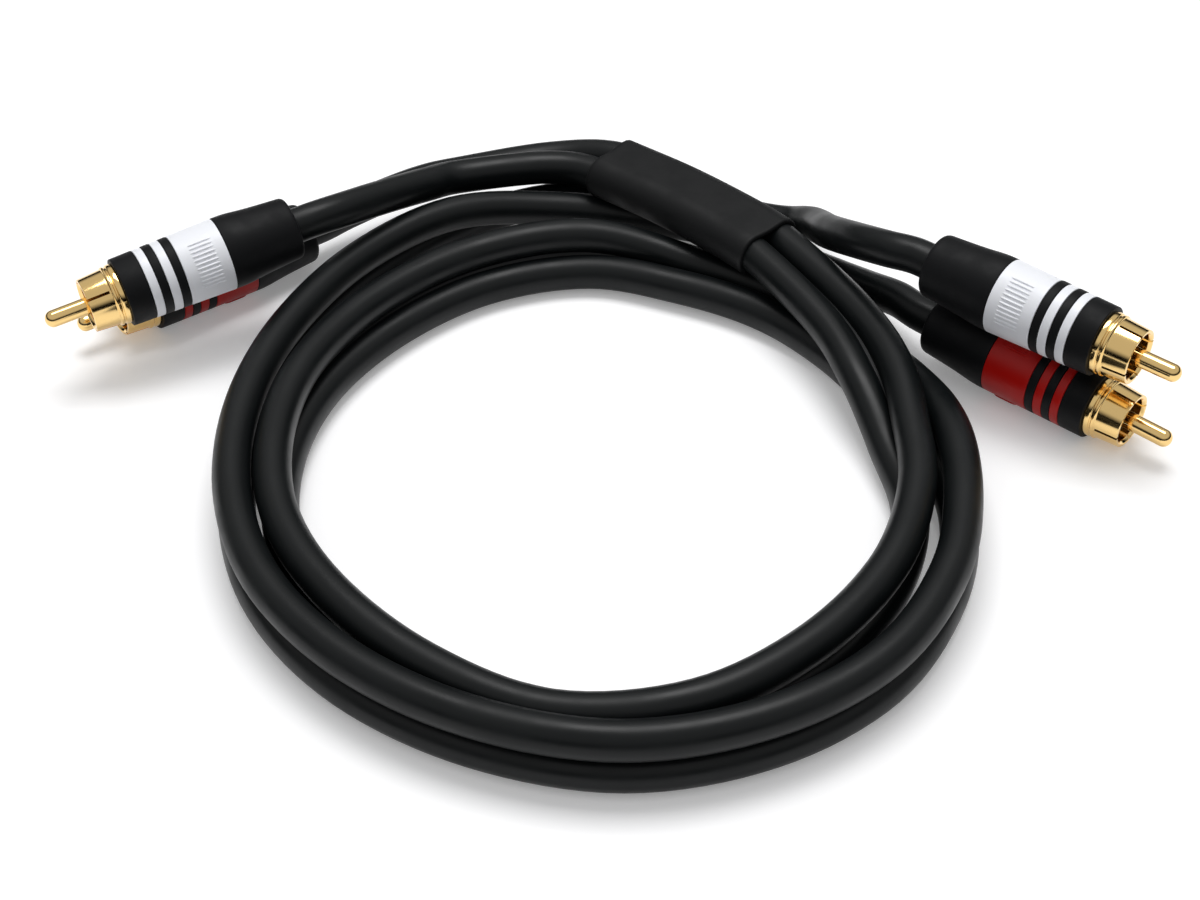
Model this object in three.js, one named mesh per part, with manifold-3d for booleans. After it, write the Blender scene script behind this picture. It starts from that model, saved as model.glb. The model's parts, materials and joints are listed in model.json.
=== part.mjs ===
// Stereo phono cable, laid down in a flat oval coil: a twin jacket whose two strands part near
// each end and run into a white and a red plug. All sizes are in millimetres, +Z is up, and the
// cable lies on the plane z = 0.

import * as THREE from 'three';
import { mergeVertices } from 'three/addons/utils/BufferGeometryUtils.js';
import Module from 'manifold-3d';

const wasm = await Module();
wasm.setup();

// Clearance that neighbouring solids keep
const GAP = 0.3;

// The cord: one strand's radius, and the web of jacket between the two strands
const STRAND_RADIUS = 3.3;
const WEB_WIDTH = 0.35;
const STRAND_SIDES = 8;
const STRAND_STEP = 10;
const EXIT_STRAIGHT = 4;

// Lengths along a plug, from the boot's rear end to the pin's tip
const BOOT_LENGTH = 14.1;
const BAND_LENGTH = 8.8;
const RING_WIDTH = 1.65;
const REAR_STRIPE_WIDTH = 1.75;
const FRONT_STRIPE_WIDTH = 1.7;
const COLLAR_LENGTH = 4.25;
const SHELL_LENGTH = 6.8;
const PIN_REACH = 7.8;

// Radii of a plug's body, which tapers evenly from the coloured band to the collar
const BAND_REAR_RADIUS = 6.85;
const COLLAR_FRONT_RADIUS = 6.4;
const BOOT_REAR_RADIUS = 5.85;
const BOOT_SHOULDER = 1.2;
const BOOT_STRAIGHT = 2.4;
const CORE_RADIUS = 4.3;
const RING_DEPTH = 0.85;

// Metal parts of a plug
const PIN_RADIUS = 1.59;
const PIN_TIP_ROUND = 1.1;
const SHELL_RADIUS = 5.3;
const SHELL_MOUTH_RADIUS = 5;
const SHELL_WALL = 0.9;
const BARREL_WALL = 0.7;
const FLANGE_RADIUS = 5.7;
const FLANGE_THICKNESS = 0.75;
const FLANGE_GROOVE_WIDTH = 0.4;
const FLANGE_GROOVE_DEPTH = 0.5;
const SLIT_WIDTH = 0.5;
const SLIT_STOP = 0.6;

// Where the barrel ends behind the collar, and the insulator's head in front of its seat
const BARREL_OVERLAP = 0.8;
const INSULATOR_HEAD = 1;
const INSULATOR_SHORTFALL = 0.6;
const PIN_SHORTFALL = 0.3;

// The sheath round the twin jacket, over the crossing
const SHEATH_WALL = 0.8;
const SHEATH_STEPS = 10;
const SHEATH_ARC_STEPS = 4;

// The coil's solid
const COIL_EDGE_ROUND = 2.4;
const COIL_OUTLINE_STEPS = 52;
const CROSSING_TOP = 6.6;
const CROSSING_LENGTH = 60;
const CROSSING_INSIDE = 22;

const PLUG_SIDES = 20;
const PIN_SIDES = 12;

// Half the distance between the twin's two centre lines
const HALF_PAIR = STRAND_RADIUS + WEB_WIDTH / 2;

// The twin's centre line, clockwise as seen from above. Each row is x, y, z and the lean in
// degrees of the line from the red plugs' strand up to the white plugs' strand: 0 is straight up,
// and a positive lean is towards the outside of the coil.
const ROUTE = [
  [-26, 74.5, 9.9, -62],
  [-8, 77.4, 10.2, -72],
  [4, 73, 11.5, -90],
  [16, 62, 11.8, -90],
  [27, 50.2, 12, -90],
  [32.8, 43.6, 11.7, -89],
  [44, 22.8, 11, -94],
  [49, 7.2, 10.1, -108],
  [51.4, -7.5, 7.7, -148],
  [52, -24, 6.8, -174],
  [45.6, -43, 6.8, -180],
  [32, -59.8, 6.8, -180],
  [13, -69.8, 6.5, -162],
  [-8, -68.6, 6, -138],
  [-27, -59.3, 6.4, -150],
  [-43.5, -44.5, 6.8, -176],
  [-53.2, -25.5, 6.8, -178],
  [-55.2, -5, 6.8, -172],
  [-50.6, 15.2, 6.8, -162],
  [-38.8, 33.5, 6.5, -151],
  [-21.5, 47, 6.2, -143],
  [-1, 51.4, 6.1, -140],
  [17.5, 46.2, 4.1, -98],
  [33, 37, 3.5, -90],
  [44.5, 24, 3.5, -90],
  [53.2, 8.3, 4.6, -110],
  [58.6, -8.2, 6.5, -154],
  [59.6, -26, 6.8, -178],
  [54.8, -45, 6.8, -178],
  [43, -63.2, 6.8, -178],
  [24.5, -75, 6.8, -178],
  [2, -79, 6.8, -178],
  [-20.9, -72.9, 6.8, -178],
  [-40.8, -59.6, 6.8, -180],
  [-55, -41, 6.8, -180],
  [-61.8, -19, 6.8, -180],
  [-62, 4, 6.8, -180],
  [-56.2, 26, 6.8, -180],
  [-44.5, 47, 6.7, -186],
  [-28, 63, 6.3, -207],
  [-8.1, 70.8, 4.7, -250],
  [12.9, 69.4, 3.5, -268],
  [34, 61, 3.5, -270],
];

// Rows of the route where the sheath begins and ends, where each turn of the coil runs, and where
// the twin comes out of the coil
const SHEATH_ROWS = [2, 5];
const INNER_TURN_ROWS = [7, 24];
const OUTER_TURN_ROWS = [24, 41];
const COIL_EXIT_ROW = 41;

// How far the pins' tips reach to each side of the coil
const LEFT_REACH = 98.9;
const RIGHT_REACH = 98.2;

// Each plug lies along a level or slightly sloped axis: its pin's tip, and the heading and the
// slope in degrees of the way from the boot to the tip. The strand's points run from the plug
// towards the coil.
const PLUGS = [
  {
    side: 'left',
    tint: 'white',
    tip: [-LEFT_REACH, 22.8, 15.3],
    heading: -153.9,
    slope: -5,
    strand: [
      [-46.4, 49.9, 19.2],
      [-39.2, 57.8, 16.6],
      [-32.2, 65.6, 13.7],
    ],
  },
  {
    side: 'left',
    tint: 'red',
    tip: [-96.2, 33.6, 6.1],
    heading: -146.5,
    slope: -1.3,
    strand: [
      [-48.2, 65.9, 7.6],
      [-40.8, 70.8, 8.1],
      [-33.5, 75, 8.3],
    ],
  },
  {
    side: 'right',
    tint: 'white',
    tip: [97.8, -9.7, 20],
    heading: -39.2,
    slope: -3.3,
    strand: [
      [52.8, 26.8, 22.3],
      [48, 34.6, 19],
      [44.6, 45.4, 13.4],
      [42.2, 57.2, 7.4],
    ],
  },
  {
    side: 'right',
    tint: 'red',
    tip: [RIGHT_REACH, -9.4, 5.45],
    heading: -41.3,
    slope: -4,
    strand: [
      [55.6, 30.2, 8.6],
      [50.9, 37, 6.4],
      [45.4, 44.2, 4.4],
      [39.6, 50.4, 3.5],
    ],
  },
];

function finish(name, color, roughness, metalness) {
  return new THREE.MeshStandardMaterial({ name, color, roughness, metalness });
}

const FINISHES = {
  jacket: finish('jacket', 0x15191a, 0.42, 0),
  sheath: finish('sheath', 0x1c1d1f, 0.7, 0),
  molding: finish('molding', 0x121314, 0.6, 0),
  white: finish('white_band', 0xe6e8ec, 0.45, 0),
  red: finish('red_band', 0xb3120c, 0.45, 0),
  gold: finish('gold', 0xd9a441, 0.22, 1),
  insulator: finish('insulator', 0x2a1f16, 0.6, 0),
};

// Cutting one closed shape with others

function solidOf(geometry) {
  const bare = geometry.index ? geometry.toNonIndexed() : geometry.clone();
  bare.deleteAttribute('normal');
  bare.deleteAttribute('uv');
  const merged = mergeVertices(bare, 1e-4);
  return new wasm.Manifold(new wasm.Mesh({
    numProp: 3,
    vertProperties: new Float32Array(merged.attributes.position.array),
    triVerts: new Uint32Array(merged.index.array),
  }));
}

function geometryOf(solid) {
  const { vertProperties, triVerts } = solid.getMesh();
  const geometry = new THREE.BufferGeometry();
  geometry.setAttribute('position', new THREE.Float32BufferAttribute(vertProperties, 3));
  geometry.setIndex(new THREE.Uint32BufferAttribute(triVerts, 1));
  return geometry;
}

function cut(geometry, ...cutters) {
  let solid = solidOf(geometry);
  for (const cutter of cutters) solid = solid.subtract(solidOf(cutter));
  return geometryOf(solid);
}

// A body turned about +Z from an outline of radius and height pairs, listed upwards on its outside
function turned(outline, sides) {
  const points = outline.map(([radius, height]) => new THREE.Vector2(radius, height));
  return new THREE.LatheGeometry(points, sides).rotateX(Math.PI / 2);
}

function turnedRing(outline, sides) {
  return turned([...outline, outline[0]], sides);
}

// Heights along a plug, from the boot's rear end
const bandRear = BOOT_LENGTH;
const rearRing = bandRear + BAND_LENGTH;
const rearStripe = rearRing + RING_WIDTH;
const frontRing = rearStripe + REAR_STRIPE_WIDTH;
const frontStripe = frontRing + RING_WIDTH;
const collarRear = frontStripe + FRONT_STRIPE_WIDTH;
const collarFront = collarRear + COLLAR_LENGTH;
const flangeFront = collarFront + GAP + 2 * FLANGE_THICKNESS + FLANGE_GROOVE_WIDTH;
const shellMouth = collarFront + SHELL_LENGTH;
const pinTip = shellMouth + PIN_REACH;
const barrelRear = collarRear - BARREL_OVERLAP;

const boreRadius = CORE_RADIUS + GAP;
const barrelBore = CORE_RADIUS - BARREL_WALL;
const shellBore = SHELL_MOUTH_RADIUS - SHELL_WALL;

function bodyRadius(height) {
  const share = (height - bandRear) / (collarFront - bandRear);
  return BAND_REAR_RADIUS + share * (COLLAR_FRONT_RADIUS - BAND_REAR_RADIUS);
}

function boot() {
  const front = bandRear - GAP / 2;
  return turned([
    [0, 0],
    [BOOT_REAR_RADIUS - BOOT_SHOULDER, 0],
    [BOOT_REAR_RADIUS - 0.3 * BOOT_SHOULDER, 0.3 * BOOT_SHOULDER],
    [BOOT_REAR_RADIUS, BOOT_SHOULDER],
    [BAND_REAR_RADIUS, front - BOOT_STRAIGHT],
    [BAND_REAR_RADIUS, front],
    [CORE_RADIUS, front],
    [CORE_RADIUS, barrelRear - GAP],
    [0, barrelRear - GAP],
  ], PLUG_SIDES);
}

function colorSleeve() {
  const rear = bandRear + GAP / 2;
  const front = collarRear - GAP / 2;
  const outline = [[boreRadius, rear], [bodyRadius(rear), rear]];
  for (const ring of [rearRing, frontRing]) {
    const low = ring - GAP / 2;
    const high = ring + RING_WIDTH + GAP / 2;
    const floor = bodyRadius(ring) - RING_DEPTH - GAP;
    outline.push([bodyRadius(low), low], [floor, low], [floor, high], [bodyRadius(high), high]);
  }
  outline.push([bodyRadius(front), front], [boreRadius, front]);
  return turnedRing(outline, PLUG_SIDES);
}

function blackRing(start) {
  const low = start + GAP / 2;
  const high = start + RING_WIDTH - GAP / 2;
  const inside = bodyRadius(start) - RING_DEPTH;
  return turnedRing([
    [inside, low],
    [bodyRadius(low), low],
    [bodyRadius(high), high],
    [inside, high],
  ], PLUG_SIDES);
}

function frontCollar() {
  const rear = collarRear + GAP / 2;
  return turnedRing([
    [boreRadius, rear],
    [bodyRadius(rear), rear],
    [bodyRadius(collarFront), collarFront],
    [boreRadius, collarFront],
  ], PLUG_SIDES);
}

function groundShell() {
  const flangeRear = collarFront + GAP;
  const grooveRear = flangeRear + FLANGE_THICKNESS;
  const grooveFront = grooveRear + FLANGE_GROOVE_WIDTH;
  const grooveRadius = FLANGE_RADIUS - FLANGE_GROOVE_DEPTH;
  const shell = turnedRing([
    [barrelBore, barrelRear],
    [CORE_RADIUS, barrelRear],
    [CORE_RADIUS, flangeRear],
    [FLANGE_RADIUS, flangeRear],
    [FLANGE_RADIUS, grooveRear],
    [grooveRadius, grooveRear],
    [grooveRadius, grooveFront],
    [FLANGE_RADIUS, grooveFront],
    [FLANGE_RADIUS, flangeFront],
    [SHELL_RADIUS, flangeFront],
    [SHELL_MOUTH_RADIUS, shellMouth],
    [shellBore, shellMouth],
    [shellBore, flangeRear + FLANGE_THICKNESS],
    [barrelBore, flangeRear + FLANGE_THICKNESS],
  ], PLUG_SIDES);
  const slitLength = shellMouth - flangeFront - SLIT_STOP;
  const slitMiddle = shellMouth - slitLength / 2;
  const across = 2 * (SHELL_RADIUS + GAP);
  const slits = [0, Math.PI / 2].map((turn) => new THREE.BoxGeometry(across, SLIT_WIDTH, slitLength)
    .translate(0, 0, slitMiddle + GAP)
    .rotateZ(turn + Math.PI / 4));
  return cut(shell, ...slits);
}

function insulator() {
  const bore = PIN_RADIUS + GAP;
  const stem = barrelBore - GAP;
  const head = shellBore - GAP;
  const rear = barrelRear + INSULATOR_SHORTFALL;
  const seat = collarFront + GAP + FLANGE_THICKNESS + GAP;
  return turnedRing([
    [bore, rear],
    [stem, rear],
    [stem, seat],
    [head, seat],
    [head, seat + INSULATOR_HEAD],
    [bore, seat + INSULATOR_HEAD],
  ], PLUG_SIDES);
}

function centerPin() {
  const rear = barrelRear + PIN_SHORTFALL;
  const round = pinTip - PIN_TIP_ROUND;
  return turned([
    [0, rear],
    [PIN_RADIUS, rear],
    [PIN_RADIUS, round],
    [0.85 * PIN_RADIUS, round + 0.55 * PIN_TIP_ROUND],
    [0.5 * PIN_RADIUS, round + 0.88 * PIN_TIP_ROUND],
    [0, pinTip],
  ], PIN_SIDES);
}

function named(name, geometry, material) {
  const mesh = new THREE.Mesh(geometry, material.clone());
  mesh.name = name;
  return mesh;
}

// The direction from a plug's boot to its tip
function plugDirection({ heading, slope }) {
  const around = THREE.MathUtils.degToRad(heading);
  const up = THREE.MathUtils.degToRad(slope);
  return new THREE.Vector3(
    Math.cos(up) * Math.cos(around),
    Math.cos(up) * Math.sin(around),
    Math.sin(up),
  );
}

function plugRear(plug) {
  const tip = new THREE.Vector3(...plug.tip);
  return tip.addScaledVector(plugDirection(plug), -pinTip);
}

function plugGroup(plug) {
  const prefix = `${plug.side}_${plug.tint}`;
  const group = new THREE.Group();
  group.add(
    named(`${prefix}_boot`, boot(), FINISHES.molding),
    named(`${prefix}_color_sleeve`, colorSleeve(), FINISHES[plug.tint]),
    named(`${prefix}_rear_ring`, blackRing(rearRing), FINISHES.molding),
    named(`${prefix}_front_ring`, blackRing(frontRing), FINISHES.molding),
    named(`${prefix}_front_collar`, frontCollar(), FINISHES.molding),
    named(`${prefix}_ground_shell`, groundShell(), FINISHES.gold),
    named(`${prefix}_insulator`, insulator(), FINISHES.insulator),
    named(`${prefix}_center_pin`, centerPin(), FINISHES.gold),
  );
  const direction = plugDirection(plug);
  const sideways = new THREE.Vector3(0, 0, 1).cross(direction).normalize();
  const upwards = direction.clone().cross(sideways);
  group.setRotationFromMatrix(new THREE.Matrix4().makeBasis(sideways, upwards, direction));
  group.position.copy(plugRear(plug));
  return group;
}

// The twin's route

function centre(row) {
  const [x, y, z] = ROUTE[row];
  return new THREE.Vector3(x, y, z);
}

// The level direction from a row's centre to the outside of the coil
function outwards(row) {
  const before = centre(Math.max(row - 1, 0));
  const after = centre(Math.min(row + 1, ROUTE.length - 1));
  const along = after.sub(before).setZ(0).normalize();
  return new THREE.Vector3(-along.y, along.x, 0);
}

function strandPoint(row, tint) {
  const lean = THREE.MathUtils.degToRad(ROUTE[row][3]);
  const reach = tint === 'white' ? HALF_PAIR : -HALF_PAIR;
  return centre(row)
    .addScaledVector(outwards(row), reach * Math.sin(lean))
    .add(new THREE.Vector3(0, 0, reach * Math.cos(lean)));
}

function rowsFrom(first, last) {
  return Array.from({ length: last - first + 1 }, (_, index) => first + index);
}

// The strand from a plug into the coil: the left pair through the sheath, the right pair from under
// it. It leaves the boot straight, and the pull is how far each end stays short of what it meets.
function tailCurve(plug, pull) {
  const direction = plugDirection(plug);
  const rear = plugRear(plug).addScaledVector(direction, -pull);
  const exit = plugRear(plug).addScaledVector(direction, -EXIT_STRAIGHT);
  const [first, last] = plug.side === 'left' ? [0, SHEATH_ROWS[1]] : [COIL_EXIT_ROW, ROUTE.length - 1];
  const rows = rowsFrom(first, last).map((row) => strandPoint(row, plug.tint));
  if (plug.side === 'right') rows.reverse();
  const before = rows[rows.length - 2];
  const end = rows[rows.length - 1];
  end.addScaledVector(before.clone().sub(end).normalize(), pull);
  const strand = plug.strand.map((point) => new THREE.Vector3(...point));
  return new THREE.CatmullRomCurve3([rear, exit, ...strand, ...rows], false, 'catmullrom', 0.5);
}

function circle(radius, sides) {
  const points = rowsFrom(0, sides - 1).map((index) => {
    const turn = (index + 0.5) * 2 * Math.PI / sides;
    return new THREE.Vector2(radius * Math.cos(turn), radius * Math.sin(turn));
  });
  return new THREE.Shape(points);
}

function tailTube(plug, radius, pull) {
  const path = tailCurve(plug, pull);
  const steps = Math.round(path.getLength() / STRAND_STEP);
  return new THREE.ExtrudeGeometry(circle(radius, STRAND_SIDES), {
    steps,
    extrudePath: path,
    bevelEnabled: false,
  });
}

// A flat oval that clears the twin by the given amount. Its long way is the path's level way.
function flatOval(clearance, target) {
  const radius = STRAND_RADIUS + clearance;
  target.absarc(0, HALF_PAIR, radius, 0, Math.PI, false);
  target.absarc(0, -HALF_PAIR, radius, Math.PI, 2 * Math.PI, false);
  return target;
}

function sheathPath() {
  const points = rowsFrom(...SHEATH_ROWS).map(centre);
  return new THREE.CatmullRomCurve3(points, false, 'catmullrom', 0.5);
}

function sheath() {
  const section = flatOval(GAP + SHEATH_WALL, new THREE.Shape());
  section.holes.push(flatOval(GAP, new THREE.Path()));
  return new THREE.ExtrudeGeometry(section, {
    steps: SHEATH_STEPS,
    curveSegments: SHEATH_ARC_STEPS,
    extrudePath: sheathPath(),
    bevelEnabled: false,
  });
}

// The coil's outer shape: a ring between the edges of the outer and the inner turn, low where the
// twin crosses over itself, with room for the sheath and the strands that run into it

function turnEdge([first, last], side) {
  const edge = rowsFrom(first, last).map((row) => {
    const lean = THREE.MathUtils.degToRad(ROUTE[row][3]);
    const reach = STRAND_RADIUS + HALF_PAIR * Math.abs(Math.sin(lean));
    return centre(row).setZ(0).addScaledVector(outwards(row), side * reach);
  });
  const outline = new THREE.CatmullRomCurve3(edge.reverse(), true, 'centripetal');
  return outline.getSpacedPoints(COIL_OUTLINE_STEPS).slice(0, -1)
    .map((point) => new THREE.Vector2(point.x, point.y));
}

function coilRing() {
  const height = 2 * (HALF_PAIR + STRAND_RADIUS);
  const inset = COIL_EDGE_ROUND;
  const shape = new THREE.Shape(turnEdge(OUTER_TURN_ROWS, 1));
  shape.holes.push(new THREE.Path(turnEdge(INNER_TURN_ROWS, -1)));
  return new THREE.ExtrudeGeometry(shape, {
    depth: height - 2 * inset,
    bevelThickness: inset,
    bevelSize: inset,
    bevelOffset: -inset,
    bevelSegments: 2,
  }).translate(0, 0, inset);
}

function crossingRoom() {
  const path = sheathPath();
  const end = path.getPoint(1);
  const along = path.getTangent(1).setZ(0).normalize();
  const height = 4 * STRAND_RADIUS;
  const outside = CROSSING_LENGTH / 2;
  return new THREE.BoxGeometry(CROSSING_LENGTH, CROSSING_INSIDE + outside, height)
    .translate(GAP - CROSSING_LENGTH / 2, (outside - CROSSING_INSIDE) / 2, height / 2)
    .rotateZ(Math.atan2(along.y, along.x))
    .translate(end.x, end.y, CROSSING_TOP);
}

function coil() {
  const tails = PLUGS.map((plug) => tailTube(plug, STRAND_RADIUS + 1.5 * GAP, 0));
  return cut(coilRing(), crossingRoom(), ...tails);
}

const cable = new THREE.Group();
cable.name = 'phono_cable';
for (const plug of PLUGS) cable.add(plugGroup(plug));
cable.add(named('sheath', sheath(), FINISHES.sheath));

// The origin is the bottom centre of the box round the plugs and the sheath
const box = new THREE.Box3().setFromObject(cable, true);
const middle = box.getCenter(new THREE.Vector3());
cable.position.set(-middle.x, -middle.y, -box.min.z);

cable.add(named('cord_coil', coil(), FINISHES.jacket));
for (const plug of PLUGS) {
  const tail = tailTube(plug, STRAND_RADIUS, GAP);
  cable.add(named(`cord_${plug.side}_${plug.tint}`, tail, FINISHES.jacket));
}

export default cable;
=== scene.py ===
# Stereo phono cable laid in a coil: a twin jacket, a sheath over the crossing, and four plugs.
import json
from math import cos, pi, radians, sin, tau

import bmesh
import bpy
from mathutils import Matrix, Vector


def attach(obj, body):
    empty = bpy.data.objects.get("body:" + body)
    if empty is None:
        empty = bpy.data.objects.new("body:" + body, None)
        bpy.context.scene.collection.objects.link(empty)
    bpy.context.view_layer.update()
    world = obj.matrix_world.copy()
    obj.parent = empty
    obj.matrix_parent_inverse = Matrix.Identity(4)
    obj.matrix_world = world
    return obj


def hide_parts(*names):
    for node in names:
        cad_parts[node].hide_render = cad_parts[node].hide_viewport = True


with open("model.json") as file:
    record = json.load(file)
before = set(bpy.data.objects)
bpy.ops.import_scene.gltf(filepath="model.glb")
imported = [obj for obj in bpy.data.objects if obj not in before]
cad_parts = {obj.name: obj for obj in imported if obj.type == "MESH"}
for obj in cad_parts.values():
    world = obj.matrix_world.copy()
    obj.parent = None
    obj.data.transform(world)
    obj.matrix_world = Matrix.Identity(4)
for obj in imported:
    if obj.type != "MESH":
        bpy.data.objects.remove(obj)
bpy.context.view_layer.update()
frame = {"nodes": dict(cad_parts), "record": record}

bl_info = {
    "name": "Phono Cable",
    "version": (1, 0, 0),
    "blender": (4, 5, 0),
    "location": "View3D > Sidebar > Cable",
    "description": "Builds a coiled stereo phono cable with its plugs, its sheath and a stage",
    "category": "Add Mesh",
}

MM = 0.001
BODY = "root"

# The route. Millimetres from the spot that the camera looks at, which lies here in the frame.
ROUTE_ORIGIN = Vector((0.205, -34.185, -0.032))

# The twin's centre line, clockwise as seen from above: x, y, z, and the lean in degrees of the
# line from the red plugs' strand up to the white plugs' strand.
ROUTE = [
    (-26, 74.5, 9.9, -62),
    (-8, 77.4, 10.2, -72),
    (4, 73, 11.5, -90),
    (16, 62, 11.8, -90),
    (27, 50.2, 12, -90),
    (32.8, 43.6, 11.7, -89),
    (44, 22.8, 11, -94),
    (49, 7.2, 10.1, -108),
    (51.4, -7.5, 7.7, -148),
    (52, -24, 6.8, -174),
    (45.6, -43, 6.8, -180),
    (32, -59.8, 6.8, -180),
    (13, -69.8, 6.5, -162),
    (-8, -68.6, 6, -138),
    (-27, -59.3, 6.4, -150),
    (-43.5, -44.5, 6.8, -176),
    (-53.2, -25.5, 6.8, -178),
    (-55.2, -5, 6.8, -172),
    (-50.6, 15.2, 6.8, -162),
    (-38.8, 33.5, 6.5, -151),
    (-21.5, 47, 6.2, -143),
    (-1, 51.4, 6.1, -140),
    (17.5, 46.2, 4.1, -98),
    (33, 37, 3.5, -90),
    (44.5, 24, 3.5, -90),
    (53.2, 8.3, 4.6, -110),
    (58.6, -8.2, 6.5, -154),
    (59.6, -26, 6.8, -178),
    (54.8, -45, 6.8, -178),
    (43, -63.2, 6.8, -178),
    (24.5, -75, 6.8, -178),
    (2, -79, 6.8, -178),
    (-20.9, -72.9, 6.8, -178),
    (-40.8, -59.6, 6.8, -180),
    (-55, -41, 6.8, -180),
    (-61.8, -19, 6.8, -180),
    (-62, 4, 6.8, -180),
    (-56.2, 26, 6.8, -180),
    (-44.5, 47, 6.7, -186),
    (-28, 63, 6.3, -207),
    (-8.1, 70.8, 4.7, -250),
    (12.9, 69.4, 3.5, -268),
    (34, 61, 3.5, -270),
]
SHEATH_ROWS = (2, 5)

# Each single strand's points, from its plug towards the twin
STRANDS = {
    "left_white": [(-46.4, 49.9, 19.2), (-39.2, 57.8, 16.6), (-32.2, 65.6, 13.7)],
    "left_red": [(-48.2, 65.9, 7.6), (-40.8, 70.8, 8.1), (-33.5, 75, 8.3)],
    "right_white": [(52.8, 26.8, 22.3), (48, 34.6, 19), (44.6, 45.4, 13.4), (42.2, 57.2, 7.4)],
    "right_red": [(55.6, 30.2, 8.6), (50.9, 37, 6.4), (45.4, 44.2, 4.4), (39.6, 50.4, 3.5)],
}

# Millimetres of clearance that the solids keep, and the fine line that it is closed down to here
CLEARANCE = 0.3
PARTING_LINE = 0.06
GROW = (CLEARANCE - PARTING_LINE) / 2

# From here lengths are in millimetres, unless a comment says otherwise. A corner counts as being
# at a height when it is this close to it, and what is smaller than TINY counts as nothing.
SAME_HEIGHT = 0.02
TINY = 1e-6

# The web of jacket, in shares of the strand's diameter and of its own thickness
WEB_OVERLAP = 0.14
WEB_WAIST = 0.55

# The sheath: the air round the twin, the rounding of its ends as a share of its wall, and how much
# of its height is left between the strands
SHEATH_STEPS = 14
SHEATH_GAP = 0.12
SHEATH_LIP = 0.35
SHEATH_DIP = 0.93

# The boot: the height of its shoulder, and how far behind its front its taper's corners are
BOOT_SHOULDER = 1.2
BOOT_WAIST = 11.3
BOOT_FLARE = 6.5
BOOT_STRAIGHT = 2.4

# The black rings, and the grooves that they sit in
RING_DEPTH = 1.1
GROOVE_DEPTH = 1.2

# The finger ribs: half a rib's width as a share of the pitch, the share of its height that is
# sunk, how far its patch sits behind the middle of the band, and its steps along and across
RIB_HALF_WIDTH = 0.29
RIB_SUNK = 0.4
RIB_SETBACK = 0.2
RIB_STEPS = 10
RIB_ARC = 6

# Where each plug's first patch of finger ribs is, in degrees round its axis from level towards up.
# The second patch is half a turn further.
RIB_PLACES = {"left_white": 30, "left_red": 90, "right_white": 147, "right_red": 85}

# The ground shell: the thickness of its barrel, heights over the collar, and its mouth
BARREL_WALL = 0.7
SHELL_FLOOR = 1
SHELL_ROOT = 2.2
SHELL_FOOT = 2.6
MOUTH_WALL = 0.42
MOUTH_BEVEL = 0.5
PIN_DOME = 1.5
PIN_DOME_STEPS = 12

# The slits between a ground shell's petals: their width, and how far each plug's are turned
SLIT_WIDTH = 0.5
SLIT_TURNS = {"left_white": 0, "left_red": 0, "right_white": -35, "right_red": -35}

# Gold: the pitch of the tool's rings, and how often a wave texture repeats at a scale of 1
TOOL_RING_PITCH = 0.35
WAVES_PER_UNIT = 20

# The stage, in metres
FLOOR_GLOW = 0.2
SKY_GAIN = 2
KEY_PLACE = (0.05, 0.3, 1.2)
KEY_TARGET = (0, 0.02, 0)
KEY_SIZE = (0.75, 0.55)

# Camera, fitted to the photograph: metres from the route's origin, degrees above the floor,
# degrees of roll, and the focal length in pixels of the image's width
IMAGE_WIDTH = 1200
CAMERA_DISTANCE = 0.4098
CAMERA_ELEVATION = 40
CAMERA_ROLL = -1.91
CAMERA_FOCAL_PIXELS = 2322
SENSOR_WIDTH = 36


def linear(hex_color):
    """The linear RGBA of an sRGB colour written as '#rrggbb'."""
    channels = [int(hex_color[place:place + 2], 16) / 255 for place in (1, 3, 5)]
    return (*[c / 12.92 if c <= 0.04045 else ((c + 0.055) / 1.055) ** 2.4 for c in channels], 1)


# Measuring the plugs on the frame

def node_points(name):
    return [Vector(vertex.co) for vertex in frame["nodes"][name].data.vertices]


class Plug:
    """One plug: its axis, its rear end and the heights and radii of its solids, in millimetres."""

    def __init__(self, name):
        self.name = name
        self.tint = name.split("_")[1]
        faces = {mount["name"]: mount for mount in frame["record"]["mounts"]}
        self.axis = Vector(faces[f"{name}_face"]["axis"]).normalized()
        self.tip = max(node_points(f"{name}_center_pin"), key=self.axis.dot)
        base = min(point.dot(self.axis) for point in node_points(f"{name}_boot"))
        self.rear = self.tip - self.axis * (self.tip.dot(self.axis) - base)
        sideways = Vector((0, 0, 1)).cross(self.axis).normalized()
        basis = Matrix((sideways, self.axis.cross(sideways), self.axis)).transposed()
        self.matrix = Matrix.Translation(self.rear) @ basis.to_4x4()
        self.body_low = self.heights("color_sleeve")[0]
        self.body_high = self.heights("front_collar")[1]
        self.low_radius = self.rim("color_sleeve", self.body_low)
        self.high_radius = self.rim("front_collar", self.body_high)

    def node(self, piece):
        return f"{self.name}_{piece}"

    def local_points(self, piece):
        into = self.matrix.inverted()
        return [into @ point / MM for point in node_points(self.node(piece))]

    def heights(self, piece):
        values = [point.z for point in self.local_points(piece)]
        return min(values), max(values)

    def radii(self, piece, height):
        """How far from the axis a solid's corners are at one height."""
        points = self.local_points(piece)
        return [point.xy.length for point in points if abs(point.z - height) < SAME_HEIGHT]

    def rim(self, piece, height):
        return max(self.radii(piece, height))

    def inner_rim(self, piece, height):
        return min(self.radii(piece, height))

    def body_radius(self, height):
        """The plug's outside at one height, on the straight taper from the sleeve to the collar."""
        share = (height - self.body_low) / (self.body_high - self.body_low)
        return self.low_radius + share * (self.high_radius - self.low_radius)


PLUGS = [Plug(name) for name in STRANDS]


# Settings: sizes, counts, and the stage's floor and light

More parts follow.
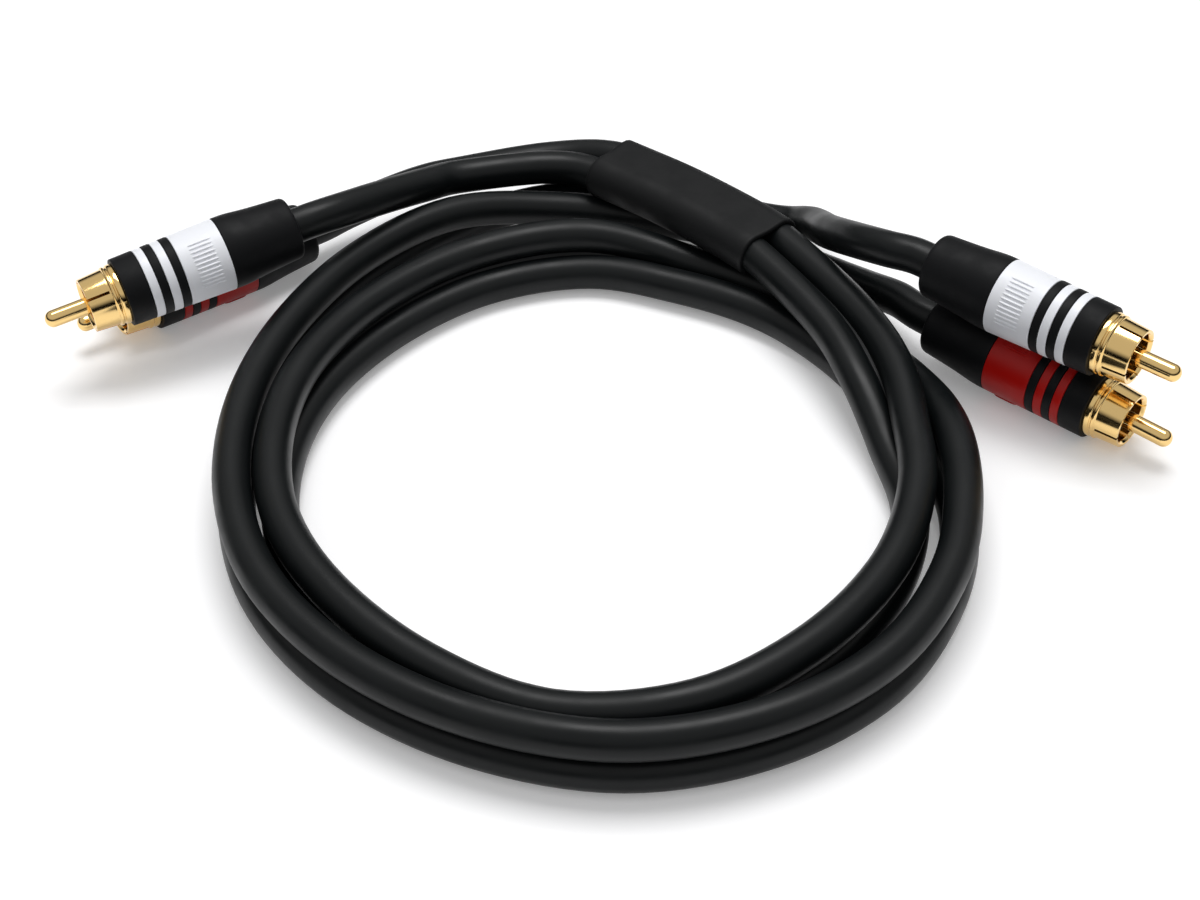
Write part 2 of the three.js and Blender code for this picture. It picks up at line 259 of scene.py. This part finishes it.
class CordSettings(bpy.types.PropertyGroup):
    diameter: bpy.props.FloatProperty(
        name="Strand diameter", description="Across one strand of the twin jacket",
        default=6.6 * MM, unit="LENGTH", precision=4)
    web: bpy.props.FloatProperty(
        name="Web width", description="Jacket between the two strands",
        default=0.35 * MM, unit="LENGTH", precision=5)
    web_thickness: bpy.props.FloatProperty(
        name="Web thickness", description="How thick the web between the strands is",
        default=1.5 * MM, unit="LENGTH", precision=4)
    straight: bpy.props.FloatProperty(
        name="Straight exit", description="How far a strand leaves its boot in a straight line",
        default=4 * MM, unit="LENGTH", precision=4)
    smoothness: bpy.props.IntProperty(
        name="Steps", description="Steps of the cord between two points of its route",
        default=8, min=2, max=24)
    sheath_wall: bpy.props.FloatProperty(
        name="Sheath wall", description="How thick the sheath over the crossing is",
        default=0.8 * MM, unit="LENGTH", precision=4)


class PlugSettings(bpy.types.PropertyGroup):
    sides: bpy.props.IntProperty(
        name="Sides", description="Steps round a turned piece", default=96, min=24, max=256)
    edge: bpy.props.FloatProperty(
        name="Edge rounding", description="Rounding of the moulded edges",
        default=0.18 * MM, unit="LENGTH", precision=5)
    rib_count: bpy.props.IntProperty(
        name="Ribs", description="Finger ribs in one patch of the coloured band",
        default=12, min=2, max=30)
    rib_pitch: bpy.props.FloatProperty(
        name="Rib pitch", description="From one finger rib to the next",
        default=0.8 * MM, unit="LENGTH", precision=5)
    rib_length: bpy.props.FloatProperty(
        name="Rib length", description="Length of a finger rib along the plug",
        default=4.8 * MM, unit="LENGTH", precision=4)
    rib_height: bpy.props.FloatProperty(
        name="Rib height", description="How far a finger rib stands proud of the band",
        default=0.22 * MM, unit="LENGTH", precision=5)


class StageSettings(bpy.types.PropertyGroup):
    floor_size: bpy.props.FloatProperty(
        name="Floor size", description="Width of the square floor", default=6, unit="LENGTH")
    key_power: bpy.props.FloatProperty(
        name="Key light", description="Power of the softbox overhead", default=9, unit="POWER")
    world_strength: bpy.props.FloatProperty(
        name="Surroundings", description="Brightness of the studio round the cable", default=0.42)


# Materials

def add_node(tree, kind, inputs=None, links=None, **settings):
    """Adds a node with its settings, its input values and its links from other sockets."""
    made = tree.nodes.new(kind)
    for name, value in settings.items():
        setattr(made, name, value)
    for name, value in (inputs or {}).items():
        made.inputs[name].default_value = value
    for name, socket in (links or {}).items():
        tree.links.new(socket, made.inputs[name])
    return made


def new_material(name, **shader_inputs):
    """A named material with a Principled shader, and that shader."""
    made = bpy.data.materials.new(name)
    made.use_nodes = True
    shader = made.node_tree.nodes["Principled BSDF"]
    for socket, value in shader_inputs.items():
        shader.inputs[socket.replace("_", " ")].default_value = value
    made.diffuse_color = shader.inputs["Base Color"].default_value
    return made, shader


def add_grain(material, shader, grain_mm, depth_mm, rough_low, rough_high, tone=0.0):
    """Fine surface relief of a moulded or drawn surface, with its gloss and its tone."""
    tree = material.node_tree
    place = add_node(tree, "ShaderNodeTexCoord")
    fine = add_node(tree, "ShaderNodeTexNoise", {"Scale": 1 / (grain_mm * MM), "Detail": 3},
                    {"Vector": place.outputs["Object"]})
    broad = add_node(tree, "ShaderNodeTexNoise", {"Scale": 0.1 / (grain_mm * MM), "Detail": 2},
                     {"Vector": place.outputs["Object"]})
    rough = add_node(tree, "ShaderNodeMapRange",
                     {"From Min": 0.35, "From Max": 0.65,
                      "To Min": rough_low, "To Max": rough_high},
                     {"Value": broad.outputs["Fac"]})
    tree.links.new(rough.outputs["Result"], shader.inputs["Roughness"])
    bump = add_node(tree, "ShaderNodeBump", {"Distance": depth_mm * MM, "Strength": 1},
                    {"Height": fine.outputs["Fac"]})
    tree.links.new(bump.outputs["Normal"], shader.inputs["Normal"])
    if tone:
        base = shader.inputs["Base Color"].default_value[:]
        paler = tuple(channel * (1 + tone) for channel in base[:3]) + (1,)
        shade = add_node(tree, "ShaderNodeMix", {"A": base, "B": paler},
                         {"Factor": broad.outputs["Fac"]}, data_type="RGBA")
        tree.links.new(shade.outputs["Result"], shader.inputs["Base Color"])


def drawn_pvc():
    # Soft PVC, extruded over the strands: near black, faintly cool, with a satin sheen
    material, shader = new_material("soft_pvc_jacket", Base_Color=linear("#0a0d0e"), IOR=1.52,
                                    Specular_IOR_Level=0.22)
    add_grain(material, shader, grain_mm=0.9, depth_mm=0.012, rough_low=0.34, rough_high=0.46,
              tone=0.3)
    return material


def moulded_pvc():
    # Matte PVC moulded over the plug: black, with an eroded, even texture
    material, shader = new_material("matte_pvc_moulding", Base_Color=linear("#0a0b0d"), IOR=1.5,
                                    Specular_IOR_Level=0.16)
    add_grain(material, shader, grain_mm=0.35, depth_mm=0.012, rough_low=0.5, rough_high=0.62,
              tone=0.3)
    return material


def sheath_rubber():
    # Shrink sleeve of matte polyolefin: dark grey, dull, with a slight unevenness
    material, shader = new_material("polyolefin_sheath", Base_Color=linear("#101112"), IOR=1.5,
                                    Specular_IOR_Level=0.2)
    add_grain(material, shader, grain_mm=0.5, depth_mm=0.02, rough_low=0.52, rough_high=0.68,
              tone=0.3)
    return material


def white_abs():
    # White ABS, moulded: cool white, half gloss
    material, shader = new_material("white_abs_band", Base_Color=linear("#f3f5fb"), IOR=1.53)
    add_grain(material, shader, grain_mm=0.4, depth_mm=0.004, rough_low=0.36, rough_high=0.46)
    shader.inputs["Subsurface Weight"].default_value = 0.12
    shader.inputs["Subsurface Radius"].default_value = (1.2 * MM, 1.2 * MM, 1.3 * MM)
    return material


def red_abs():
    # Red ABS, moulded: deep signal red, half gloss
    material, shader = new_material("red_abs_band", Base_Color=linear("#b20c05"), IOR=1.53,
                                    Specular_IOR_Level=0.25)
    add_grain(material, shader, grain_mm=0.4, depth_mm=0.004, rough_low=0.36, rough_high=0.46,
              tone=0.06)
    return material


def gold_plating():
    # Gold plating on turned brass: mirror bright, with faint rings that the tool left
    material, shader = new_material("gold_plated_brass", Base_Color=linear("#f4d08c"), Metallic=1,
                                    Roughness=0.13)
    tree = material.node_tree
    place = add_node(tree, "ShaderNodeTexCoord")
    scale = 1 / (TOOL_RING_PITCH * MM) / WAVES_PER_UNIT
    rings = add_node(tree, "ShaderNodeTexWave", {"Scale": scale, "Distortion": 0.4},
                     {"Vector": place.outputs["Object"]}, bands_direction="Z")
    bump = add_node(tree, "ShaderNodeBump", {"Distance": 0.0012 * MM, "Strength": 1},
                    {"Height": rings.outputs["Fac"]})
    tree.links.new(bump.outputs["Normal"], shader.inputs["Normal"])
    return material


def dark_insulator():
    # Brown-black polypropylene, moulded round the pin: dull
    material, shader = new_material("polypropylene_insulator", Base_Color=linear("#2b2019"),
                                    IOR=1.49)
    add_grain(material, shader, grain_mm=0.3, depth_mm=0.006, rough_low=0.5, rough_high=0.6)
    return material


FINISHES = {
    "jacket": drawn_pvc,
    "sheath": sheath_rubber,
    "molding": moulded_pvc,
    "white_band": white_abs,
    "red_band": red_abs,
    "gold": gold_plating,
    "insulator": dark_insulator,
}


def finish(slot):
    """The material of one of the record's slots, made once."""
    if slot not in MADE:
        MADE[slot] = FINISHES[slot]()
    return MADE[slot]


MADE = {}


# Meshes

def filleted(corners, steps=5):
    """An outline in millimetres from corners of radius, height and rounding."""
    outline = []
    for index, (radius, height, rounding) in enumerate(corners):
        corner = Vector((radius, height))
        if not rounding:
            outline.append(corner)
            continue
        before = Vector(corners[index - 1][:2]) - corner
        after = Vector(corners[(index + 1) % len(corners)][:2]) - corner
        start = corner + before.normalized() * min(rounding, before.length / 2)
        end = corner + after.normalized() * min(rounding, after.length / 2)
        for step in range(steps + 1):
            t = step / steps
            outline.append(start * (1 - t) ** 2 + corner * 2 * t * (1 - t) + end * t ** 2)
    return outline


def turn(mesh, outline, sides, closed, start=0.0, sweep=tau):
    """Turns an outline about Z into the mesh, all the way round or over an arc with flat ends."""
    full = sweep >= tau - TINY
    rings = []
    for step in range(sides if full else sides + 1):
        angle = start + sweep * step / sides
        ring = []
        for index, (radius, height) in enumerate(outline):
            if radius < TINY and rings:
                ring.append(rings[0][index])
                continue
            x, y = radius * cos(angle), radius * sin(angle)
            ring.append(mesh.verts.new((x * MM, y * MM, height * MM)))
        rings.append(ring)
    pairs = list(zip(rings, rings[1:] + ([rings[0]] if full else [])))
    count = len(outline)
    for ring, following in pairs:
        for index in range(count if closed else count - 1):
            after = (index + 1) % count
            corners = [ring[index], ring[after], following[after], following[index]]
            corners = list(dict.fromkeys(corners))
            if len(corners) > 2:
                mesh.faces.new(corners)
    if not full and closed:
        mesh.faces.new(rings[0])
        mesh.faces.new(rings[-1][::-1])


def piece_from(name, mesh, slot, sharp_angle=38):
    """An object from a bmesh, smooth but for its sharp edges, with its finish."""
    bmesh.ops.recalc_face_normals(mesh, faces=mesh.faces)
    data = bpy.data.meshes.new(name)
    mesh.to_mesh(data)
    mesh.free()
    data.shade_smooth()
    data.set_sharp_from_angle(angle=radians(sharp_angle))
    made = bpy.data.objects.new(name, data)
    bpy.context.scene.collection.objects.link(made)
    data.materials.append(finish(slot))
    return made


def seat_on_plug(made, plug, node):
    """Puts a piece on its plug, in the place of its CAD solid."""
    made.matrix_world = plug.matrix
    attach(made, BODY)
    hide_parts(plug.node(node))
    return made


# The cord's route

def place(x, y, z):
    return (Vector((x, y, z)) + ROUTE_ORIGIN) * MM


def outwards(row):
    """The level direction from a row of the route to the outside of the coil."""
    before = Vector(ROUTE[max(row - 1, 0)][:3])
    after = Vector(ROUTE[min(row + 1, len(ROUTE) - 1)][:3])
    along = (after - before).xy.normalized()
    return Vector((-along.y, along.x, 0))


def strand_point(row, tint, settings):
    x, y, z, lean = ROUTE[row]
    reach = (settings.diameter + settings.web) / 2
    if tint == "red":
        reach = -reach
    lean = radians(lean)
    return place(x, y, z) + reach * (outwards(row) * sin(lean) + Vector((0, 0, cos(lean))))


def smooth_line(points, steps):
    """A smooth curve through all the points."""
    ends = [2 * points[0] - points[1], *points, 2 * points[-1] - points[-2]]
    line = []
    for a, b, c, d in zip(ends, ends[1:], ends[2:], ends[3:]):
        for step in range(steps):
            t = step / steps
            line.append(0.5 * (2 * b + (c - a) * t + (2 * a - 5 * b + 4 * c - d) * t ** 2
                               + (3 * b - a - 3 * c + d) * t ** 3))
    return line + [points[-1]]


def strand_line(tint, settings):
    """The centre line of one strand, from its left plug round the coil to its right plug."""
    left, right = [plug for plug in PLUGS if plug.tint == tint]

    def tail(plug):
        inside = plug.rear + plug.axis * MM
        leaving = plug.rear - plug.axis * settings.straight
        return [inside, leaving, *[place(*point) for point in STRANDS[plug.name]]]

    rows = [strand_point(row, tint, settings) for row in range(len(ROUTE))]
    return smooth_line([*tail(left), *rows, *reversed(tail(right))], settings.smoothness)


def make_strand(tint, settings):
    line = strand_line(tint, settings)
    curve = bpy.data.curves.new(f"{tint}_strand", "CURVE")
    curve.dimensions = "3D"
    curve.bevel_depth = settings.diameter / 2
    curve.bevel_resolution = 8
    curve.use_fill_caps = True
    spline = curve.splines.new("POLY")
    spline.points.add(len(line) - 1)
    for point, position in zip(spline.points, line):
        point.co = (*position, 1)
    spline.use_smooth = True
    made = bpy.data.objects.new(f"{tint}_strand", curve)
    bpy.context.scene.collection.objects.link(made)
    curve.materials.append(finish("jacket"))
    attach(made, BODY)
    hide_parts("cord_coil", f"cord_left_{tint}", f"cord_right_{tint}")
    return made


def sweep_section(mesh, centres, ups, sections):
    """Sweeps closed sections along centres. Their points are sideways and upwards in metres."""
    rings = []
    for index, (centre, up) in enumerate(zip(centres, ups)):
        before = centres[max(index - 1, 0)]
        after = centres[min(index + 1, len(centres) - 1)]
        along = (after - before).normalized()
        sideways = along.cross(up).normalized()
        upwards = sideways.cross(along)
        rings.append([mesh.verts.new(centre + sideways * x + upwards * y)
                      for x, y in sections[index]])
    for ring, following in zip(rings, rings[1:]):
        for index in range(len(ring)):
            after = (index + 1) % len(ring)
            mesh.faces.new((ring[index], ring[after], following[after], following[index]))
    return rings


def make_web(settings):
    """The thin web of jacket that joins the two strands along the twin."""
    white, red = [smooth_line([strand_point(row, tint, settings) for row in range(len(ROUTE))],
                              settings.smoothness) for tint in ("white", "red")]
    centres = [(a + b) / 2 for a, b in zip(white, red)]
    across = [(a - b).normalized() for a, b in zip(white, red)]
    half = settings.web / 2 + WEB_OVERLAP * settings.diameter
    thick = settings.web_thickness / 2
    waist = WEB_WAIST * thick
    section = [(-thick, -half), (thick, -half), (waist, 0),
               (thick, half), (-thick, half), (-waist, 0)]
    mesh = bmesh.new()
    rings = sweep_section(mesh, centres, across, [section] * len(centres))
    mesh.faces.new(rings[0])
    mesh.faces.new(rings[-1][::-1])
    made = piece_from("jacket_web", mesh, "jacket")
    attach(made, BODY)
    return made


# The sheath

def sheath_outline(clearance, settings, steps=12):
    """The flat oval that keeps this clearance round the twin, with a dip between the strands."""
    radius = settings.diameter / 2 + clearance
    half = (settings.diameter + settings.web) / 2
    outline = []
    for side in (1, -1):
        for step in range(steps + 1):
            angle = side * pi / 2 - pi * step / steps
            outline.append((side * half + radius * cos(angle), radius * sin(angle)))
        outline.append((0, -side * SHEATH_DIP * radius))
    return outline


def make_sheath(settings):
    first, last = SHEATH_ROWS
    rows = [place(*ROUTE[row][:3]) for row in range(first, last + 1)]
    centres = smooth_line(rows, SHEATH_STEPS)
    wall = settings.sheath_wall
    gap = SHEATH_GAP * MM
    lip = SHEATH_LIP * wall
    inner = sheath_outline(gap, settings)
    outer = sheath_outline(gap + wall, settings)
    rounded = sheath_outline(gap + wall - lip, settings)
    mesh = bmesh.new()
    ups = [Vector((0, 0, 1))] * (len(centres) + 2)
    along = (centres[1] - centres[0]).normalized() * lip
    leaving = (centres[-1] - centres[-2]).normalized() * lip
    outside = [centres[0], centres[0] + along, *centres[1:-1], centres[-1] - leaving, centres[-1]]
    sections = [rounded, *[outer] * (len(outside) - 2), rounded]
    skin = sweep_section(mesh, outside, ups, sections)
    bore = sweep_section(mesh, centres, ups, [inner] * len(centres))
    for a, b in ((skin[0], bore[0]), (skin[-1], bore[-1])):
        for index in range(len(a)):
            after = (index + 1) % len(a)
            mesh.faces.new((a[index], a[after], b[after], b[index]))
    made = piece_from("sheath_sleeve", mesh, "sheath", sharp_angle=50)
    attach(made, BODY)
    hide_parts("sheath")
    return made


# The plugs' pieces

def make_boot(plug, settings, strand_radius):
    edge = settings.edge / MM
    rear = plug.rim("boot", BOOT_SHOULDER)
    front = plug.body_low - CLEARANCE + GROW
    hole = strand_radius / MM + 0.12
    mesh = bmesh.new()
    outline = filleted([
        (hole - 0.3, 1.6, 0),
        (hole, 0.9, 0.3),
        (hole + 0.15, 0.0, 0.15),
        (rear - 0.02, 0.0, 1.1),
        (rear + 0.15, front - BOOT_WAIST, 1.2),
        (rear + 0.5, front - BOOT_FLARE, 2),
        (plug.low_radius, front - BOOT_STRAIGHT, 1.5),
        (plug.low_radius, front, edge),
        (plug.low_radius - 1.5, front, 0),
        (hole - 0.3, front, 0),
    ])
    turn(mesh, outline, settings.sides, closed=True)
    made = piece_from(f"{plug.name}_moulded_boot", mesh, "molding")
    return seat_on_plug(made, plug, "boot")


def ring_outline(plug, low, high, depth, edge):
    """A ring flush with the plug's taper."""
    inside = plug.body_radius((low + high) / 2) - depth
    return filleted([
        (inside, low, 0),
        (plug.body_radius(low), low, edge),
        (plug.body_radius(high), high, edge),
        (inside, high, 0),
    ])


def make_ring(plug, node, settings):
    low, high = plug.heights(node)
    mesh = bmesh.new()
    outline = ring_outline(plug, low - GROW, high + GROW, RING_DEPTH, settings.edge / MM)
    turn(mesh, outline, settings.sides, closed=True)
    made = piece_from(f"{plug.name}_{node}_moulding", mesh, "molding")
    return seat_on_plug(made, plug, node)


def add_rib(mesh, plug, angle, low, high, settings):
    """One finger rib: a low rounded ridge along the plug, with soft ends."""
    height = settings.rib_height
    half_width = RIB_HALF_WIDTH * settings.rib_pitch
    rise = (1 + RIB_SUNK) * height
    radial = Vector((cos(angle), sin(angle), 0))
    around = Vector((-sin(angle), cos(angle), 0))
    rings = []
    for step in range(RIB_STEPS + 1):
        share = step / RIB_STEPS
        swell = max(0.08, 1 - abs(2 * share - 1) ** 8)
        level = low + share * (high - low)
        depth = plug.body_radius(level) * MM - RIB_SUNK * height
        foot = radial * depth + Vector((0, 0, level * MM))
        ring = []
        for index in range(RIB_ARC + 1):
            bend = pi * index / RIB_ARC
            sideways = around * half_width * swell ** 0.5 * cos(bend)
            ring.append(mesh.verts.new(foot + sideways + radial * rise * swell * sin(bend)))
        rings.append(ring)
    for ring, following in zip(rings, rings[1:]):
        for index in range(RIB_ARC + 1):
            after = (index + 1) % (RIB_ARC + 1)
            mesh.faces.new((ring[index], ring[after], following[after], following[index]))
    mesh.faces.new(rings[0])
    mesh.faces.new(rings[-1][::-1])


def make_band(plug, settings):
    """The coloured sleeve, grooved for the black rings, with two patches of finger ribs."""
    edge = settings.edge / MM
    low, high = plug.body_low - GROW, plug.heights("color_sleeve")[1] + GROW
    bore = plug.inner_rim("color_sleeve", plug.body_low)
    corners = [(bore, low, 0), (plug.body_radius(low), low, edge)]
    for ring in ("rear_ring", "front_ring"):
        start, end = plug.heights(ring)
        start, end = start - GROW - PARTING_LINE, end + GROW + PARTING_LINE
        corners.append((plug.body_radius(start), start, edge))
        corners.append((plug.body_radius(start) - GROOVE_DEPTH, start, 0))
        corners.append((plug.body_radius(end) - GROOVE_DEPTH, end, 0))
        corners.append((plug.body_radius(end), end, edge))
    corners.append((plug.body_radius(high), high, edge))
    corners.append((bore, high, 0))
    mesh = bmesh.new()
    turn(mesh, filleted(corners), settings.sides, closed=True)
    band_end = plug.heights("rear_ring")[0]
    middle = (low + band_end) / 2 - RIB_SETBACK
    reach = settings.rib_length / MM / 2
    pitch = settings.rib_pitch / MM / plug.body_radius(middle)
    for half_turn in (0, pi):
        for index in range(settings.rib_count):
            step = index - (settings.rib_count - 1) / 2
            angle = radians(RIB_PLACES[plug.name]) + half_turn + step * pitch
            add_rib(mesh, plug, angle, middle - reach, middle + reach, settings)
    made = piece_from(f"{plug.name}_ribbed_band", mesh, f"{plug.tint}_band")
    return seat_on_plug(made, plug, "color_sleeve")


def make_shell(plug, settings):
    """The gold ground shell: a beaded flange, a grooved foot and four petals between slits."""
    barrel_low, mouth = plug.heights("ground_shell")
    collar = plug.body_high
    flange = plug.rim("ground_shell", collar + CLEARANCE)
    shell = plug.rim("ground_shell", mouth)
    bore = plug.inner_rim("ground_shell", mouth)
    root = plug.inner_rim("ground_shell", collar + SHELL_ROOT)
    foot = collar + SHELL_FOOT
    core = plug.inner_rim("ground_shell", barrel_low)
    mesh = bmesh.new()
    base = filleted([
        (core, barrel_low, 0),
        (core + BARREL_WALL, barrel_low, 0),
        (core + BARREL_WALL, collar + PARTING_LINE, 0),
        (flange - 0.1, collar + PARTING_LINE, 0.15),
        (flange, collar + 0.55, 0.4),
        (flange - 0.06, collar + 1.2, 0.4),
        (root + 0.1, collar + 1.35, 0.1),
        (root + 0.1, collar + 1.62, 0.1),
        (root + 0.32, collar + 1.72, 0.12),
        (root + 0.3, collar + 2.15, 0.2),
        (root, collar + 2.3, 0.12),
        (root, foot, 0),
        (bore, foot, 0),
        (bore, collar + SHELL_FLOOR, 0),
        (core, collar + SHELL_FLOOR, 0),
    ])
    turn(mesh, base, settings.sides, closed=True)
    petal = filleted([
        (bore, foot - 0.02, 0),
        (root, foot - 0.02, 0),
        (shell, mouth, 0.14),
        (bore + MOUTH_WALL, mouth, 0.1),
        (bore, mouth - MOUTH_BEVEL, 0.15),
    ])
    half_slit = SLIT_WIDTH / 2 / shell
    for quarter in range(4):
        start = (quarter + 0.5) * pi / 2 + radians(SLIT_TURNS[plug.name]) + half_slit
        turn(mesh, petal, settings.sides // 4, closed=True, start=start,
             sweep=pi / 2 - 2 * half_slit)
    made = piece_from(f"{plug.name}_plated_shell", mesh, "gold")
    return seat_on_plug(made, plug, "ground_shell")


def make_pin(plug, settings):
    low, high = plug.heights("center_pin")
    radius = plug.rim("center_pin", low)
    shoulder = high - PIN_DOME
    outline = [Vector((0, low)), Vector((radius, low)), Vector((radius, shoulder))]
    for step in range(1, PIN_DOME_STEPS + 1):
        bend = pi / 2 * step / PIN_DOME_STEPS
        outline.append(Vector((radius * cos(bend), shoulder + PIN_DOME * sin(bend))))
    outline[-1].x = 0
    mesh = bmesh.new()
    turn(mesh, outline, settings.sides // 2, closed=False)
    made = piece_from(f"{plug.name}_plated_pin", mesh, "gold")
    return seat_on_plug(made, plug, "center_pin")


def make_insulator(plug, settings):
    low, high = plug.heights("insulator")
    bore = plug.rim("center_pin", plug.heights("center_pin")[0])
    head = plug.rim("insulator", high)
    mesh = bmesh.new()
    outline = filleted([
        (bore + 0.02, low, 0),
        (head - 0.6, low, 0),
        (head + 0.2, high - 1, 0),
        (head + 0.2, high, 0.15),
        (bore + 0.5, high, 0.2),
        (bore + 0.02, high - 0.35, 0),
    ])
    turn(mesh, outline, settings.sides // 2, closed=True)
    return seat_on_plug(piece_from(f"{plug.name}_core", mesh, "insulator"), plug, "insulator")


# The stage

def floor_material():
    """White card. Seen straight or in a reflection it also glows a little, so it reads as white."""
    material, shader = new_material("white_card", Base_Color=linear("#f6f6f7"), Roughness=0.9)
    tree = material.node_tree
    output = tree.nodes["Material Output"]
    path = add_node(tree, "ShaderNodeLightPath")
    seen = path.outputs["Is Camera Ray"]
    for ray in ("Is Glossy Ray", "Is Transmission Ray"):
        seen = add_node(tree, "ShaderNodeMath", links={0: seen, 1: path.outputs[ray]},
                        operation="MAXIMUM").outputs[0]
    glow = add_node(tree, "ShaderNodeMath", {1: FLOOR_GLOW}, {0: seen}, operation="MULTIPLY")
    light = add_node(tree, "ShaderNodeEmission", {"Color": (1, 1, 1, 1)},
                     {"Strength": glow.outputs[0]})
    both = add_node(tree, "ShaderNodeAddShader",
                    links={0: shader.outputs["BSDF"], 1: light.outputs["Emission"]})
    tree.links.new(both.outputs["Shader"], output.inputs["Surface"])
    return material


def make_floor(settings):
    mesh = bmesh.new()
    half = settings.floor_size / 2
    corners = ((-1, -1), (1, -1), (1, 1), (-1, 1))
    mesh.faces.new([mesh.verts.new((x * half, y * half, 0)) for x, y in corners])
    data = bpy.data.meshes.new("floor")
    mesh.to_mesh(data)
    mesh.free()
    made = bpy.data.objects.new("floor", data)
    bpy.context.scene.collection.objects.link(made)
    data.materials.append(floor_material())


def make_world(settings):
    """A pale studio: bright overhead, dark at the sides, so that metal shows some contrast."""
    world = bpy.data.worlds.new("studio")
    bpy.context.scene.world = world
    world.use_nodes = True
    tree = world.node_tree
    background = tree.nodes["Background"]
    direction = add_node(tree, "ShaderNodeTexCoord")
    parts = add_node(tree, "ShaderNodeSeparateXYZ", links={0: direction.outputs["Generated"]})
    rise = add_node(tree, "ShaderNodeMapRange",
                    {"From Min": 0.22, "From Max": 0.5, "To Min": 0.0, "To Max": 0.72},
                    {"Value": parts.outputs["Z"]})
    tree.links.new(rise.outputs["Result"], background.inputs["Color"])
    background.inputs["Strength"].default_value = settings.world_strength * SKY_GAIN


def add_softbox(name, position, target, width, height, power):
    lamp = bpy.data.lights.new(name, "AREA")
    lamp.shape = "RECTANGLE"
    lamp.size, lamp.size_y = width, height
    lamp.energy = power
    made = bpy.data.objects.new(name, lamp)
    made.location = position
    made.rotation_euler = (Vector(target) - Vector(position)).to_track_quat("-Z", "Y").to_euler()
    bpy.context.scene.collection.objects.link(made)
    return made


def make_camera():
    lens = CAMERA_FOCAL_PIXELS * SENSOR_WIDTH / IMAGE_WIDTH
    elevation, roll = radians(CAMERA_ELEVATION), radians(CAMERA_ROLL)
    forwards = Vector((0, cos(elevation), -sin(elevation)))
    level, raised = Vector((1, 0, 0)), Vector((0, sin(elevation), cos(elevation)))
    right = level * cos(roll) + raised * sin(roll)
    up = raised * cos(roll) - level * sin(roll)
    data = bpy.data.cameras.new("camera")
    data.sensor_width = SENSOR_WIDTH
    data.sensor_fit = "HORIZONTAL"
    data.lens = lens
    data.clip_start = 0.01
    made = bpy.data.objects.new("camera", data)
    turned = Matrix((right, up, -forwards)).transposed().to_4x4()
    made.matrix_world = Matrix.Translation(place(0, 0, 0) - forwards * CAMERA_DISTANCE) @ turned
    bpy.context.scene.collection.objects.link(made)
    bpy.context.scene.camera = made


# Operators

class CABLE_OT_plug_bodies(bpy.types.Operator):
    """Builds each plug's moulded boot, black rings and collar"""
    bl_idname = "cable.plug_bodies"
    bl_label = "Boots, rings and collars"

    def execute(self, context):
        settings = context.scene.cable_plug
        for plug in PLUGS:
            make_boot(plug, settings, context.scene.cable_cord.diameter / 2)
            for node in ("rear_ring", "front_ring", "front_collar"):
                make_ring(plug, node, settings)
        return {"FINISHED"}


class CABLE_OT_plug_bands(bpy.types.Operator):
    """Builds the four coloured, ribbed bands"""
    bl_idname = "cable.plug_bands"
    bl_label = "Coloured bands"

    def execute(self, context):
        for plug in PLUGS:
            make_band(plug, context.scene.cable_plug)
        return {"FINISHED"}


class CABLE_OT_plug_contacts(bpy.types.Operator):
    """Builds the gold shells and pins, and the insulators between them"""
    bl_idname = "cable.plug_contacts"
    bl_label = "Shells, insulators and pins"

    def execute(self, context):
        settings = context.scene.cable_plug
        for plug in PLUGS:
            make_shell(plug, settings)
            make_insulator(plug, settings)
            make_pin(plug, settings)
        return {"FINISHED"}


class CABLE_OT_cord(bpy.types.Operator):
    """Lays the two strands along their route, with the web between them"""
    bl_idname = "cable.cord"
    bl_label = "Twin cord"

    def execute(self, context):
        settings = context.scene.cable_cord
        for tint in ("white", "red"):
            make_strand(tint, settings)
        make_web(settings)
        return {"FINISHED"}


class CABLE_OT_sheath(bpy.types.Operator):
    """Builds the sheath over the crossing"""
    bl_idname = "cable.sheath"
    bl_label = "Sheath"

    def execute(self, context):
        make_sheath(context.scene.cable_cord)
        return {"FINISHED"}


class CABLE_OT_stage(bpy.types.Operator):
    """Sets up the floor, the surroundings, the lights and the camera"""
    bl_idname = "cable.stage"
    bl_label = "Stage"

    def execute(self, context):
        settings = context.scene.cable_stage
        context.scene.view_settings.view_transform = "Standard"
        make_floor(settings)
        make_world(settings)
        add_softbox("key_softbox", KEY_PLACE, KEY_TARGET, *KEY_SIZE, settings.key_power)
        make_camera()
        return {"FINISHED"}


class CABLE_PT_sidebar(bpy.types.Panel):
    """Lists the steps that build the cable"""
    bl_label = "Phono Cable"
    bl_idname = "CABLE_PT_sidebar"
    bl_space_type = "VIEW_3D"
    bl_region_type = "UI"
    bl_category = "Cable"

    def draw(self, context):
        for operator in OPERATORS:
            self.layout.operator(operator.bl_idname)


SETTINGS = {"cable_cord": CordSettings, "cable_plug": PlugSettings, "cable_stage": StageSettings}
OPERATORS = (
    CABLE_OT_plug_bodies,
    CABLE_OT_plug_bands,
    CABLE_OT_plug_contacts,
    CABLE_OT_cord,
    CABLE_OT_sheath,
    CABLE_OT_stage,
)


def register():
    for group in (*SETTINGS.values(), *OPERATORS, CABLE_PT_sidebar):
        bpy.utils.register_class(group)
    for name, group in SETTINGS.items():
        setattr(bpy.types.Scene, name, bpy.props.PointerProperty(type=group))


def unregister():
    for name in SETTINGS:
        delattr(bpy.types.Scene, name)
    for group in reversed((*SETTINGS.values(), *OPERATORS, CABLE_PT_sidebar)):
        bpy.utils.unregister_class(group)


def main():
    register()
    bpy.ops.cable.plug_bodies()
    bpy.ops.cable.plug_bands()
    bpy.ops.cable.plug_contacts()
    bpy.ops.cable.cord()
    bpy.ops.cable.sheath()
    bpy.ops.cable.stage()


if __name__ == "__main__":
    main()
